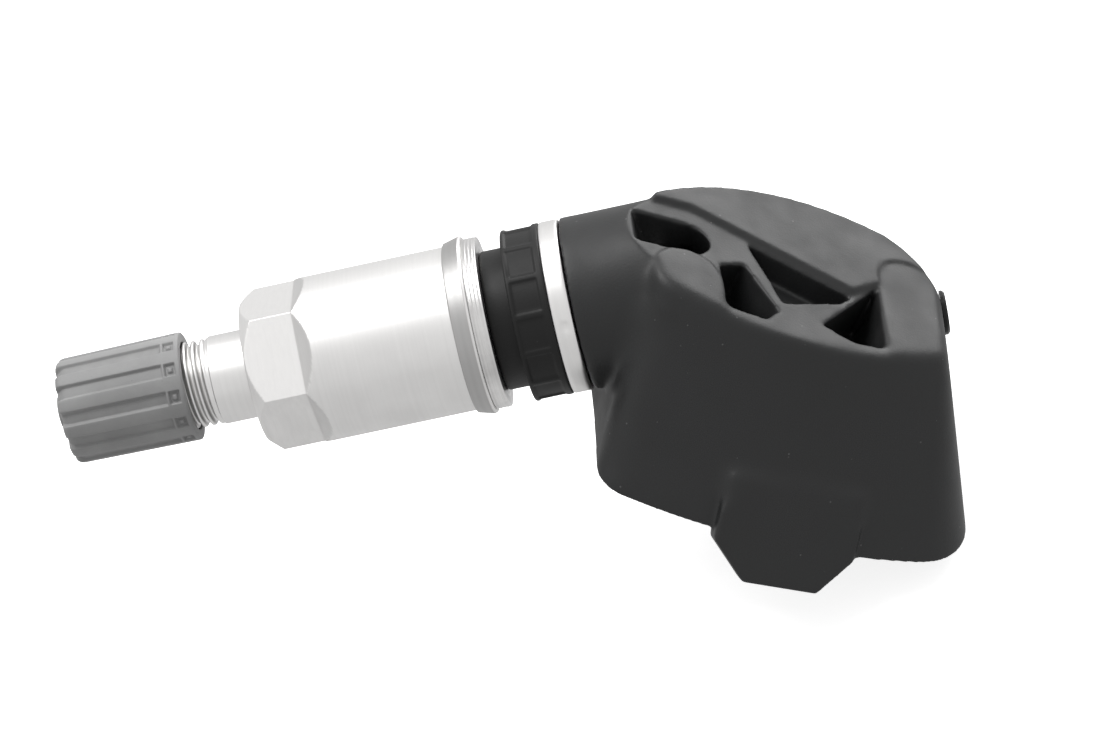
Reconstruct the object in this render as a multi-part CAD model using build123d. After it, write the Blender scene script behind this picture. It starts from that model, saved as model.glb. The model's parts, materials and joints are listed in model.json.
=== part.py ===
from build123d import *
from math import cos, pi, radians, sin, sqrt, tan
import os

# Tyre pressure sensor with a clamp-in metal valve, in millimetres.
# X runs along the valve, from the cap (-X) to the sensor housing (+X). Y runs across the housing. +Z is up.
# The origin is on the valve's axis, in the plane where the grommet's shoulder seals against the wheel.

# Clearances and fits
turning_clearance = 0.05       # radial, between parts that screw or slide on each other
seat_clearance = 0.02          # radial, between parts that stay where they are pressed
face_gap = 0.05                # between faces that only just touch

# Valve stem: a turned tube with a thread for the cap, a thread for the nut and a wide inner flange
tip_to_seat = 37.0             # from the stem's tip to the seat on the wheel
cap_thread_radius = 3.85       # 8V1 valve thread, 7.7 mm across
cap_thread_pitch = 0.794       # 32 threads to the inch
cap_thread_length = 9.0
shank_radius = 4.0             # between the two threads and through the nut
neck_radius = 4.6              # through the washer, the wheel and the grommet
neck_length = 5.2              # from the seat towards the cap
flange_radius = 7.65
flange_thickness = 1.75
foot_radius = 4.5              # the stem's inner end, inside the housing's collar
foot_length = 5.4
air_bore_radius = 1.3
core_bore_radius = 2.65        # upper bore, which takes the head of the valve core
core_bore_length = 7.4
core_seat_radius = 2.2         # lower bore, which takes the core's barrel and its cup
core_seat_length = 11.6
screw_thread_radius = 2.0      # tapped hole for the screw that holds the housing
screw_thread_depth = 5.6

# Valve core
core_recess = 0.6              # how far the core's head lies inside the tip
core_head_length = 6.2
core_barrel_radius = 1.75
core_barrel_length = 6.4
core_chamber_radius = 1.15     # space for the spring
core_end_wall = 0.9
core_slot_width = 1.1
pin_radius = 0.5
pin_guide_radius = pin_radius + turning_clearance
pin_collar_radius = 0.95
pin_collar_length = 0.6
pin_travel = 1.5
cup_radius = 1.95
cup_length = 1.5
spring_wire = 0.25
spring_turns = 6
spring_steps = 8               # straight stretches in each turn
core_ring_length = 1.2

# Valve cap
cap_end_radius = 4.7
cap_rim_radius = 4.85
cap_length = 11.3
cap_nub_radius = 1.6
cap_nub_length = 0.6
cap_corner = 0.7
cap_over_thread = 7.4          # how much of the thread the cap covers
cap_end_wall = 1.9
cap_groove_count = 12
cap_groove_width = 1.3
cap_groove_depth = 0.3
cap_groove_phase = 5.0         # degrees from +Z towards -Y
cap_plain_rim = 1.75           # plain band at the open end
cap_seal_thickness = 1.2
cap_seal_hole = 1.2

# Sleeve nut and its washer
nut_radius = 7.325
nut_hex_across_flats = 12.6
nut_hex_length = 4.7
nut_hex_bevel = 0.8
nut_hex_phase = 18.8           # degrees from +Z towards -Y to the first corner
nut_cylinder_length = 14.25
nut_flange_radius = 7.9
nut_flange_length = 1.65
nut_flange_bevel = 0.45
nut_thread_pitch = 1.0
nut_thread_length = 9.0
nut_hollow_radius = 5.6
washer_radius = 7.7
washer_thickness = 1.3

# Grommet
grommet_nose_radius = 6.2
grommet_nose_length = 2.2      # the part that fills the wheel's valve hole
grommet_radius = 7.65
grommet_thickness = 3.4
grommet_pocket_count = 14
grommet_pocket_angle = 21.5    # degrees
grommet_pocket_length = 2.4
grommet_pocket_depth = 0.6
grommet_pocket_start = 0.35
grommet_pocket_phase = 53.0    # degrees from the camera's top line, about X

# Housing frame: x along the housing, z square to its base
base_tilt = 28.5               # degrees between the valve's axis and the housing's base
top_slope = 5.5                # extra slope of the rim plane over the base
housing_origin_x = 10.78
housing_origin_z = 8.065
base_depth = 18.15             # from the housing's origin down to the base plane

# Outline of the housing at its rim plane
rim_left = 2.7
rim_right = 30.65
rim_right_lean = 0.45          # how far the right end's front corner lies inside rim_right
rim_middle = 17.3
rim_front_half = 9.8
rim_back_half = 9.4
rim_front_left = 6.4
rim_front_right = 6.9
rim_back_left = 4.4
rim_corner = 2.8
rim_small_corner = 1.6
rim_back_cut = 1.2
rim_edge_bevel = 0.7           # between the top and the front wall

# Outline of the housing at its base plane
base_left = 2.0
base_left_middle = 2.6
base_right = 37.7
base_right_lean = 1.2
base_middle = 20.0
base_front_half = 18.0
base_back_half = 14.4
base_front_left = 14.0
base_front_right = 16.1
base_back_left = 11.2
base_small_corner = 3.3
base_back_cut = 2.0
base_corner = 6.4

# Collar of the housing, round the valve's foot
collar_radius = 7.65
collar_gap = 0.12
collar_length = 14.0
collar_web = 1.2               # wall between the stem's foot and the screw's head
screw_chamber_radius = 3.0
screw_chamber_length = 4.3
screw_slot_width = 3.9
screw_slot_end = 17.75
screw_slot_shift = 0.3         # towards the back
screw_slot_floor = 0.4

# Top of the housing
plate_height = 0.5             # raised flat plate along the back
plate_bevel = 0.5
pad_radius = 3.2
pad_height = 0.3
left_pad_x = 5.9
left_pad_y = -4.9
right_pad_x = 27.8
right_pad_y = 1.35
right_pad_step = 5.9           # from the right pad's middle to the plate's inner corner
pocket_depth_a = 4.4
pocket_depth_b = 2.6
pocket_depth_c = 5.2

# Foot panel and tab on the front wall
panel_left = 12.4
panel_right = 25.2
panel_top = -12.6
panel_slope = 27.0             # degrees outward from the housing's z
panel_proud = 0.45
tab_left = 15.8
tab_right = 22.6
tab_drop = 3.0
tab_thickness = 1.7

# Port plug in the right-hand end wall
port_radius = 2.0
port_y = 1.8
port_drop = 2.3
port_wall_bow = 0.08           # how far the end wall bows out past its plane, at the plug
port_bevel = 0.2
port_proud = 0.45
port_stem_radius = 1.25
port_stem_length = 2.4

# Electronics, stacked up from the potting that closes the bay
bay_wall = 1.9
bay_left = 8.4
bay_corner = 3.2
bay_head_room = 2.1            # above the board
potting_thickness = 1.75
stack_gap = 0.2                # between the potting and the cell's lower tab
board_thickness = 1.0
board_margin = 1.3
post_size = 2.0
post_inset = 1.6               # from the board's edges to the posts
cell_radius = 10.0
cell_thickness = 3.2
cell_side_gap = 0.4
cell_tab_thickness = 0.3
cell_tab_width = 4.0
chip_size = 7.0
chip_height = 1.6
chip_bevel = 0.25
chip_port_radius = 0.5
chip_port_depth = 0.8
coil_length = 7.5
coil_width = 2.6
coil_height = 1.7
coil_flange = 1.2
coil_waist = 0.35
crystal_length = 4.0
crystal_width = 1.6
crystal_height = 0.9
capacitor_length = 1.6
capacitor_width = 0.8
capacitor_height = 0.8
capacitor_count = 6
capacitor_pitch = 1.9
capacitor_row_gap = 2.8
antenna_wire = 0.6
antenna_height = 1.5
antenna_span = 14.0
part_gap = 0.9                 # between neighbours on the board

# Screw that holds the housing on the stem
screw_head_radius = 2.8
screw_head_length = 1.9
screw_socket_radius = 1.3
screw_air_radius = 0.6
screw_length_in_stem = 4.6


def turned(points):
    """Solid of revolution about the valve's axis, from (x, radius) corners."""
    return revolve(Plane.XY * make_face(Polyline(*points, close=True)), Axis.X)


def about_x(angle, part):
    """Turns a part about the valve's axis, from +Z towards -Y."""
    return Rot(angle, 0, 0) * part


# Places along the valve's axis
tip_x = -tip_to_seat
cap_thread_end_x = tip_x + cap_thread_length
flange_x = grommet_thickness
foot_x = flange_x + flange_thickness
foot_end_x = foot_x + foot_length
cap_rim_x = tip_x + cap_over_thread
cap_end_x = cap_rim_x - cap_length
washer_x = -grommet_nose_length - washer_thickness
nut_end_x = washer_x
nut_flange_x = nut_end_x - nut_flange_length
nut_cylinder_x = nut_flange_x - nut_cylinder_length
nut_start_x = nut_cylinder_x - nut_hex_length
core_head_x = tip_x + core_recess
core_barrel_x = core_head_x + core_head_length
core_end_x = core_barrel_x + core_barrel_length

housing_frame = Plane(
    origin=(housing_origin_x, 0, housing_origin_z),
    x_dir=(cos(radians(base_tilt)), 0, -sin(radians(base_tilt))),
    z_dir=(sin(radians(base_tilt)), 0, cos(radians(base_tilt))),
)
rim_plane = Plane(
    origin=(0, 0, 0),
    x_dir=(cos(radians(top_slope)), 0, -sin(radians(top_slope))),
    z_dir=(sin(radians(top_slope)), 0, cos(radians(top_slope))),
)
base_plane = Plane(origin=(0, 0, -base_depth))


def in_housing(part):
    """Carries a part from the housing's frame to the valve's frame."""
    return housing_frame.location * part


def on_rim(part):
    """Carries a part from the rim plane to the valve's frame."""
    return housing_frame.location * rim_plane.location * part


def make_valve_stem():
    outside = [
        (tip_x, 0),
        (tip_x, cap_thread_radius),
        (cap_thread_end_x, cap_thread_radius),
        (cap_thread_end_x, shank_radius),
        (-neck_length, shank_radius),
        (-neck_length, neck_radius),
        (flange_x, neck_radius),
        (flange_x, flange_radius),
        (foot_x, flange_radius),
        (foot_x, foot_radius),
        (foot_end_x, foot_radius),
        (foot_end_x, 0),
    ]
    core_floor = tip_x + core_bore_length
    seat_floor = core_floor + core_seat_length
    thread_start = foot_end_x - screw_thread_depth
    bore = [
        (tip_x - 1, 0),
        (tip_x - 1, core_bore_radius),
        (core_floor, core_bore_radius),
        (core_floor, core_seat_radius),
        (seat_floor, core_seat_radius),
        (seat_floor + core_seat_radius - air_bore_radius, air_bore_radius),
        (thread_start, air_bore_radius),
        (thread_start, screw_thread_radius),
        (foot_end_x + 1, screw_thread_radius),
        (foot_end_x + 1, 0),
    ]
    return turned(outside) - turned(bore)


def make_core_body():
    outside = [
        (core_head_x, 0),
        (core_head_x, core_bore_radius - seat_clearance),
        (core_barrel_x, core_bore_radius - seat_clearance),
        (core_barrel_x, core_barrel_radius),
        (core_end_x, core_barrel_radius),
        (core_end_x, 0),
    ]
    chamber = [
        (core_head_x - 1, 0),
        (core_head_x - 1, core_chamber_radius),
        (core_end_x - core_end_wall, core_chamber_radius),
        (core_end_x - core_end_wall, pin_guide_radius),
        (core_end_x + 1, pin_guide_radius),
        (core_end_x + 1, 0),
    ]
    body = turned(outside) - turned(chamber)
    slot = Pos(core_head_x, 0, 0) * Box(2 * core_recess + 2, core_slot_width, 2 * core_bore_radius + 1)
    return body - slot


def pin_collar_x():
    return core_head_x + core_head_length / 2


def make_core_pin():
    end_x = core_end_x + face_gap + cup_length
    collar_x = pin_collar_x()
    return turned([
        (tip_x + 0.1, 0),
        (tip_x + 0.1, pin_radius),
        (collar_x, pin_radius),
        (collar_x, pin_collar_radius),
        (collar_x + pin_collar_length, pin_collar_radius),
        (collar_x + pin_collar_length, pin_radius),
        (end_x, pin_radius),
        (end_x, pin_collar_radius),
        (end_x + pin_collar_length, pin_collar_radius),
        (end_x + pin_collar_length, 0),
    ])


def make_core_cup():
    start = core_end_x + face_gap
    return turned([
        (start, pin_radius),
        (start, cup_radius),
        (start + cup_length, cup_radius),
        (start + cup_length, pin_radius),
    ])


def make_core_spring():
    """Square wire wound round the pin: square sections on a helix, joined by straight stretches."""
    start = pin_collar_x() + pin_collar_length + spring_wire / 2
    end = core_end_x - core_end_wall - spring_wire / 2
    coil_radius = (pin_radius + core_chamber_radius) / 2
    count = spring_turns * spring_steps
    sections = []
    for i in range(count + 1):
        turn = 2 * pi * i / spring_steps
        place = (start + (end - start) * i / count, coil_radius * cos(turn), coil_radius * sin(turn))
        station = Plane(origin=place, x_dir=(1, 0, 0), z_dir=(0, -sin(turn), cos(turn)))
        sections.append(station * Rectangle(spring_wire, spring_wire))
    return loft(sections, ruled=True)


def make_core_ring():
    start = core_barrel_x + core_ring_length
    return turned([
        (start, core_barrel_radius + seat_clearance),
        (start, core_seat_radius - seat_clearance),
        (start + core_ring_length, core_seat_radius - seat_clearance),
        (start + core_ring_length, core_barrel_radius + seat_clearance),
    ])


def cap_radius_at(x):
    """Outside radius of the cap, which widens evenly from its closed end to its rim."""
    return cap_end_radius + (cap_rim_radius - cap_end_radius) * (x - cap_end_x) / cap_length


def make_valve_cap():
    outside = turned([
        (cap_end_x, 0),
        (cap_end_x, cap_end_radius),
        (cap_rim_x, cap_rim_radius),
        (cap_rim_x, 0),
    ])
    end_edge = outside.edges().filter_by(GeomType.CIRCLE).sort_by(Axis.X)[0]
    outside = chamfer(end_edge, cap_corner / 2)
    outside += turned([
        (cap_end_x - cap_nub_length, 0),
        (cap_end_x - cap_nub_length, cap_nub_radius - 0.2),
        (cap_end_x - cap_nub_length + 0.2, cap_nub_radius),
        (cap_end_x + 0.1, cap_nub_radius),
        (cap_end_x + 0.1, 0),
    ])
    thread_bore = cap_thread_radius + turning_clearance
    seal_end = cap_end_x + cap_end_wall
    outside -= turned([
        (seal_end, 0),
        (seal_end, thread_bore),
        (cap_rim_x + 1, thread_bore),
        (cap_rim_x + 1, 0),
    ])
    groove_end = cap_rim_x - cap_plain_rim
    groove_length = groove_end - cap_end_x + 1
    groove = Pos(groove_end - groove_length / 2, 0, cap_end_radius - cap_groove_depth + 1) * Box(
        groove_length, cap_groove_width, 2
    )
    step = 360 / cap_groove_count
    cuts = [about_x(cap_groove_phase + step * i, groove) for i in range(cap_groove_count)]
    return outside - cuts


def make_cap_seal():
    start = tip_x - face_gap - cap_seal_thickness
    return turned([
        (start, cap_seal_hole),
        (start, cap_thread_radius),
        (start + cap_seal_thickness, cap_thread_radius),
        (start + cap_seal_thickness, cap_seal_hole),
    ])


def make_sleeve_nut():
    flange_bevel = nut_flange_bevel
    outside = turned([
        (nut_start_x, 0),
        (nut_start_x, nut_radius - nut_hex_bevel),
        (nut_start_x + nut_hex_bevel, nut_radius),
        (nut_flange_x, nut_radius),
        (nut_flange_x, nut_flange_radius - flange_bevel),
        (nut_flange_x + flange_bevel, nut_flange_radius),
        (nut_end_x, nut_flange_radius),
        (nut_end_x, 0),
    ])
    # Six flats milled into the end of the cylinder.
    flat_height = nut_hex_across_flats / 2
    cutter = Pos(nut_start_x + nut_hex_length / 2 - 1, 0, flat_height + 2) * Box(nut_hex_length + 2, 12, 4)
    flats = [about_x(nut_hex_phase + 30 + 60 * i, cutter) for i in range(6)]
    outside = outside - flats
    thread_bore = shank_radius + turning_clearance
    hollow_x = nut_start_x + nut_thread_length
    return outside - turned([
        (nut_start_x - 1, 0),
        (nut_start_x - 1, thread_bore),
        (hollow_x, thread_bore),
        (hollow_x, nut_hollow_radius),
        (nut_end_x + 1, nut_hollow_radius),
        (nut_end_x + 1, 0),
    ])


def make_nut_washer():
    bore = neck_radius + turning_clearance
    return turned([
        (washer_x, bore),
        (washer_x, washer_radius),
        (washer_x + washer_thickness, washer_radius),
        (washer_x + washer_thickness, bore),
    ])


def make_grommet():
    bore = neck_radius + seat_clearance
    body = turned([
        (-grommet_nose_length, bore),
        (-grommet_nose_length, grommet_nose_radius),
        (0, grommet_nose_radius),
        (0, grommet_radius),
        (grommet_thickness, grommet_radius),
        (grommet_thickness, bore),
    ])
    floor_radius = grommet_radius - grommet_pocket_depth
    start = grommet_pocket_start
    end = start + grommet_pocket_length
    ring = [(start, floor_radius), (start, grommet_radius + 1), (end, grommet_radius + 1), (end, floor_radius)]
    sector = revolve(
        Plane.XY * make_face(Polyline(*ring, close=True)), Axis.X, revolution_arc=grommet_pocket_angle
    )
    step = 360 / grommet_pocket_count
    return body - [about_x(grommet_pocket_phase + step * i, sector) for i in range(grommet_pocket_count)]


def outline(points, front_radii, back_cut):
    """Closed outline: an arc in front, a line at the right, an arc round the back right corner,
    an arc along the back and an arc at the left. The two front corners are rounded and the back left one is cut.

    points: front left, front middle, front right, right end, round corner's middle, start of the back,
    back middle, back left, left middle.
    """
    front_left, front_middle, front_right, right_end, corner, back_start, back_middle, back_left, left_middle = points
    edges = [
        ThreePointArc(front_left, front_middle, front_right),
        Line(front_right, right_end),
        ThreePointArc(right_end, corner, back_start),
        ThreePointArc(back_start, back_middle, back_left),
        ThreePointArc(back_left, left_middle, front_left),
    ]
    face = make_face(edges)
    for point, radius in zip((front_left, front_right), front_radii):
        face = fillet(face.vertices().sort_by_distance((point[0], point[1], 0))[0], radius)
    return chamfer(face.vertices().sort_by_distance((back_left[0], back_left[1], 0))[0], back_cut)


def rim_outline():
    return outline(
        [
            (rim_left, -rim_front_left),
            (rim_middle, -rim_front_half),
            (rim_right - rim_right_lean, -rim_front_right),
            (rim_right, 0.1 * rim_back_half),
            (rim_right - 1.3, 0.475 * rim_back_half),
            (rim_right - 4.45, 0.815 * rim_back_half),
            (rim_middle, rim_back_half),
            (rim_left, rim_back_left),
            (rim_left - 0.1, 0),
        ],
        (rim_corner, rim_small_corner),
        rim_back_cut,
    )


def base_outline():
    return outline(
        [
            (base_left, -base_front_left),
            (base_middle, -base_front_half),
            (base_right - base_right_lean, -base_front_right),
            (base_right, 0.45 * base_back_half),
            (base_right - 1.5, 0.715 * base_back_half),
            (base_right - 5.7, 0.905 * base_back_half),
            (base_middle, base_back_half),
            (base_left, base_back_left),
            (base_left_middle, 0),
        ],
        (base_small_corner, base_corner),
        base_back_cut,
    )


def rim_z(x):
    """Height of the rim plane, in the housing's frame."""
    return -x * tan(radians(top_slope))


def below_rim(part, height=0.0):
    """Cuts away what stands above the rim plane, for a part in the valve's frame."""
    return part - on_rim(Pos(rim_middle, 0, height + 20) * Box(120, 80, 40))


def top_region(left, right, front, back):
    return Pos((left + right) / 2, (front + back) / 2) * Rectangle(right - left, back - front)


def make_body():
    """The flared block of the housing: a straight-sided loft from the level of the plate to the base plane,
    with a bevel along its front edge."""
    top = rim_plane.location * Pos(0, 0, plate_height) * rim_outline()
    body = loft([top, base_plane.location * base_outline()], ruled=True)
    upper = body.faces().sort_by(Axis((0, 0, 0), tuple(rim_plane.z_dir)))[-1]
    front = [e for e in upper.edges() if e.center().Y < -rim_front_left / 2]
    return chamfer(front, rim_edge_bevel)


def make_collar():
    start = foot_x + collar_gap
    collar = turned([(start, 0), (start, collar_radius), (start + collar_length, collar_radius),
                     (start + collar_length, 0)])
    return below_rim(collar)


def pad_region(x, y, front):
    """Plan of a pad: a half disc at the back and straight sides running to the front."""
    length = y - front
    return Pos(x, y) * Circle(pad_radius) + Pos(x, y - length / 2) * Rectangle(2 * pad_radius, length)


def plate_region():
    """Plan of the raised plate's foot, before the right pad's disc is taken out of it."""
    beyond = 4
    return make_face(Polyline(
        (rim_left - beyond, left_pad_y + 9.0),
        (left_pad_x + 1.1, left_pad_y + 9.0),
        (right_pad_x - right_pad_step, right_pad_y - pad_radius),
        (right_pad_x - 0.75 * pad_radius, right_pad_y - 0.7),
        (rim_right + beyond, right_pad_y - 0.7),
        (rim_right + beyond, rim_back_half + beyond),
        (rim_left - beyond, rim_back_half + beyond),
        close=True,
    ))


def make_plate():
    """Raised plate along the back, with a bevelled front edge that goes round behind the right pad."""
    region = plate_region()
    top = Pos(0, 0, plate_height) * offset(region, -plate_bevel, kind=Kind.INTERSECTION)
    plate = loft([region, top], ruled=True)
    return plate - extrude(Pos(right_pad_x, right_pad_y) * Circle(pad_radius), plate_height)


def make_top_space():
    """What is cut from the block above the rim plane: all but the two pads and the bevelled plate."""
    front = -rim_front_half - 2
    space = extrude(top_region(rim_left - 3, rim_right + 3, front - 2, rim_back_half + 3), 3)
    space -= extrude(pad_region(left_pad_x, left_pad_y, front), pad_height)
    space -= extrude(pad_region(right_pad_x, right_pad_y, front), pad_height)
    return space - make_plate()


def pocket(corners, depth):
    return Pos(0, 0, 1) * extrude(make_face(Polyline(*corners, close=True)), -depth - 1)


def make_pockets():
    a = pocket([(9.25, -2.2), (11.6, -1.3), (14.3, -6.6), (13.0, -7.9), (9.25, -7.4)], pocket_depth_a)
    b = pocket([(12.3, 1.7), (21.7, -2.0), (20.6, -3.2), (14.9, -5.3)], pocket_depth_b)
    c = pocket([(18.4, -6.9), (24.5, 0.1), (24.3, -7.7), (21.2, -7.95)], pocket_depth_c)
    return a + b + c


def make_screw_space():
    """Bore for the stem's foot, the chamber for the screw's head and the slot above it."""
    foot_bore = foot_radius + seat_clearance
    head_x = foot_end_x + collar_web
    chamber_end = head_x + screw_chamber_length
    shaft = screw_thread_radius + turning_clearance
    bores = turned([
        (foot_x - 1, 0),
        (foot_x - 1, foot_bore),
        (foot_end_x + face_gap, foot_bore),
        (foot_end_x + face_gap, shaft),
        (head_x, shaft),
        (head_x, screw_chamber_radius),
        (chamber_end, screw_chamber_radius),
        (chamber_end, 0),
    ])
    round_x = screw_slot_end - screw_slot_width / 2
    plan = Pos((head_x + round_x) / 2, screw_slot_shift) * Rectangle(round_x - head_x, screw_slot_width)
    plan += Pos(round_x, screw_slot_shift) * Circle(screw_slot_width / 2)
    slot = Pos(0, 0, screw_slot_floor) * extrude(plan, 14)
    return bores + slot


def panel_plane(proud):
    """Plane of the foot panel: its x runs along the housing and its y runs up the sloping wall."""
    slope = radians(panel_slope)
    return Plane(
        origin=(0, -base_front_half - proud, -base_depth),
        x_dir=(1, 0, 0),
        z_dir=(0, -cos(slope), sin(slope)),
    )


def make_foot_panel():
    slope = radians(panel_slope)
    up = (panel_top + base_depth) / cos(slope)
    down = tab_drop / cos(slope)
    plan = make_face(Polyline(
        (panel_left, up), (panel_left, 0), (tab_left, -down), (tab_right, -down),
        (panel_right, 0), (panel_right, up), close=True,
    ))
    return extrude(panel_plane(panel_proud).location * plan, -tab_thickness - panel_proud)


def end_wall_plane():
    """Plane of the right-hand end wall, at the port plug."""
    rise = base_depth + rim_z(rim_right)
    run = base_right - rim_right
    length = sqrt(rise * rise + run * run)
    drop = port_drop
    return Plane(
        origin=(rim_right + run * drop / length, port_y, rim_z(rim_right) - rise * drop / length),
        x_dir=(0, 1, 0),
        z_dir=(rise / length, 0, run / length),
    )


# Heights in the housing's frame, from the base up
potting_top = -base_depth + potting_thickness
cell_bottom = potting_top + stack_gap + cell_tab_thickness
cell_top = cell_bottom + cell_thickness
board_bottom = cell_top + cell_tab_thickness
board_top = board_bottom + board_thickness
bay_top = board_top + bay_head_room


def bay_points(z, margin=0.0):
    """Corners of the electronics bay at a height z in the housing's frame, a margin inside its walls."""
    share = (rim_z(rim_middle) - z) / (rim_z(rim_middle) + base_depth)
    right = rim_right + (base_right - rim_right) * share - bay_wall - base_right_lean - margin
    front = rim_front_half + (base_front_half - rim_front_half) * share - bay_wall - margin
    back = rim_back_half + (base_back_half - rim_back_half) * share - bay_wall - margin
    left = bay_left + margin
    cut = bay_corner
    return [
        (left, -front + cut), (left + 2 * cut, -front + 0.4 * cut), (base_middle, -front), (right - cut, -front + 0.3 * cut),
        (right, -front + 1.2 * cut), (right, back - 1.4 * cut), (right - cut, back - 0.4 * cut), (base_middle, back),
        (left + 2 * cut, back - 0.4 * cut), (left, back - cut),
    ]


def bay_outline(z, margin=0.0):
    return Pos(0, 0, z) * make_face(Polyline(*bay_points(z, margin), close=True))


def make_bay():
    """Space for the electronics, open at the base."""
    return loft([bay_outline(bay_top), bay_outline(-base_depth)], ruled=True)


def board_edges():
    """Front, right, back and left edges of the circuit board."""
    points = bay_points(board_top, board_margin)
    xs = [x for x, y in points]
    ys = [y for x, y in points]
    return min(ys), max(xs), max(ys), min(xs)


def cell_centre():
    """The cell lies in the middle of the board's length and width."""
    front, right, back, left = board_edges()
    return (left + right) / 2, (front + back) / 2


def make_posts():
    """Four square posts from the bay's roof down to the board."""
    front, right, back, left = board_edges()
    height = bay_top - board_top + 0.5
    post = Box(post_size, post_size, height, align=(Align.CENTER, Align.CENTER, Align.MIN))
    return [
        Pos(x, y, board_top) * post
        for x in (left + post_inset, right - post_inset)
        for y in (front + 3.2 * post_inset, back - 3.0 * post_inset)
    ]


def make_housing_shell():
    shell = in_housing(make_body()) - on_rim(make_top_space())
    shell += make_collar()
    shell += in_housing(make_foot_panel())
    shell -= on_rim(make_pockets())
    shell -= make_screw_space()
    shell -= in_housing(make_bay())
    hole = Pos(0, 0, -port_stem_length - face_gap) * Cylinder(
        port_stem_radius + seat_clearance, port_stem_length + 2, align=(Align.CENTER, Align.CENTER, Align.MIN)
    )
    shell -= in_housing(end_wall_plane().location * hole)
    for post in make_posts():
        shell += in_housing(post)
    return shell


def make_potting():
    slab = Pos(base_middle, 0, -base_depth + potting_thickness / 2) * Box(80, 80, potting_thickness)
    return in_housing(make_bay() & slab)


def make_circuit_board():
    return in_housing(extrude(bay_outline(board_top, board_margin), -board_thickness))


def make_battery_cell():
    x, y = cell_centre()
    can = Cylinder(cell_radius, cell_thickness, align=(Align.CENTER, Align.CENTER, Align.MIN))
    return in_housing(Pos(x, y, cell_bottom) * can)


def make_battery_tab_top():
    x, y = cell_centre()
    strip = Box(cell_radius, cell_tab_width, cell_tab_thickness, align=(Align.CENTER, Align.CENTER, Align.MIN))
    return in_housing(Pos(x, y, cell_top) * strip)


def make_battery_tab_bottom():
    """Strip under the cell that turns up past its side to the board."""
    x, y = cell_centre()
    inner = x + cell_radius - 2 * cell_tab_width
    outer = x + cell_radius + cell_side_gap
    low = cell_bottom - cell_tab_thickness
    section = Polyline(
        (inner, cell_bottom), (inner, low), (outer + cell_tab_thickness, low),
        (outer + cell_tab_thickness, board_bottom), (outer, board_bottom), (outer, cell_bottom), close=True,
    )
    strip = extrude(Plane.XZ * make_face(section), cell_tab_width / 2, both=True)
    return in_housing(Pos(0, y, 0) * strip)


def on_board(x, y, part):
    return in_housing(Pos(x, y, board_top) * part)


def bottom_box(length, width, height):
    return Box(length, width, height, align=(Align.CENTER, Align.CENTER, Align.MIN))


def make_sensor_chip():
    x, y = cell_centre()
    body = chamfer(bottom_box(chip_size, chip_size, chip_height).edges().group_by(Axis.Z)[-1], chip_bevel)
    hole = Pos(chip_size / 4, chip_size / 4, chip_height) * Cylinder(chip_port_radius, 2 * chip_port_depth)
    return on_board(x - part_gap / 2 - chip_size / 2, y + part_gap / 2 + chip_size / 2, body - hole)


def make_lf_coil():
    x, y = cell_centre()
    core = bottom_box(coil_length, coil_width, coil_height)
    waist_length = coil_length - 2 * coil_flange
    waist = bottom_box(waist_length, 2 * coil_width, coil_height)
    waist -= bottom_box(waist_length, coil_width - 2 * coil_waist, coil_height)
    return on_board(x - part_gap / 2 - coil_length / 2, y - part_gap / 2 - coil_width / 2, core - waist)


def make_crystal():
    x, y = cell_centre()
    body = bottom_box(crystal_length, crystal_width, crystal_height)
    return on_board(x + part_gap / 2 + crystal_length / 2, y + part_gap / 2 + chip_size - crystal_width / 2, body)


def make_capacitor(number):
    x, y = cell_centre()
    chip = bottom_box(capacitor_width, capacitor_length, capacitor_height)
    column, row = divmod(number, 2)
    across = x + part_gap + capacitor_width / 2 + capacitor_pitch * column
    return on_board(across, y + part_gap / 2 - capacitor_length + capacitor_row_gap * row, chip)


def make_antenna_loop():
    """Flat wire bridge that stands on the board and sends the reading."""
    x, y = cell_centre()
    outer = bottom_box(antenna_span, antenna_wire, antenna_height)
    inner = bottom_box(antenna_span - 2 * antenna_wire, 2 * antenna_wire, antenna_height - antenna_wire)
    return on_board(x, y - 1.5 * part_gap - coil_width - antenna_wire, outer - inner)


def make_port_plug():
    head = Cylinder(port_radius, port_proud, align=(Align.CENTER, Align.CENTER, Align.MIN))
    head = chamfer(head.edges().sort_by(Axis.Z)[-1], port_bevel)
    shank = Cylinder(port_stem_radius, port_stem_length, align=(Align.CENTER, Align.CENTER, Align.MAX))
    plug = end_wall_plane().location * Pos(0, 0, face_gap + port_wall_bow) * (head + shank)
    return in_housing(plug)


def make_stem_screw():
    head_x = foot_end_x + collar_web
    return turned([
        (foot_end_x - screw_length_in_stem, screw_air_radius),
        (foot_end_x - screw_length_in_stem, screw_thread_radius - seat_clearance),
        (head_x, screw_thread_radius - seat_clearance),
        (head_x, screw_head_radius),
        (head_x + screw_head_length, screw_head_radius),
        (head_x + screw_head_length, screw_socket_radius),
        (head_x + 0.6, screw_socket_radius),
        (head_x + 0.6, screw_air_radius),
    ])


parts = {
    "valve_cap": make_valve_cap,
    "cap_seal": make_cap_seal,
    "valve_stem": make_valve_stem,
    "core_body": make_core_body,
    "core_pin": make_core_pin,
    "core_cup": make_core_cup,
    "core_spring": make_core_spring,
    "core_ring": make_core_ring,
    "sleeve_nut": make_sleeve_nut,
    "nut_washer": make_nut_washer,
    "grommet": make_grommet,
    "housing_shell": make_housing_shell,
    "potting": make_potting,
    "circuit_board": make_circuit_board,
    "battery_cell": make_battery_cell,
    "battery_tab_top": make_battery_tab_top,
    "battery_tab_bottom": make_battery_tab_bottom,
    "sensor_chip": make_sensor_chip,
    "lf_coil": make_lf_coil,
    "crystal": make_crystal,
    "antenna_loop": make_antenna_loop,
    "port_plug": make_port_plug,
    "stem_screw": make_stem_screw,
}

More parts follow.
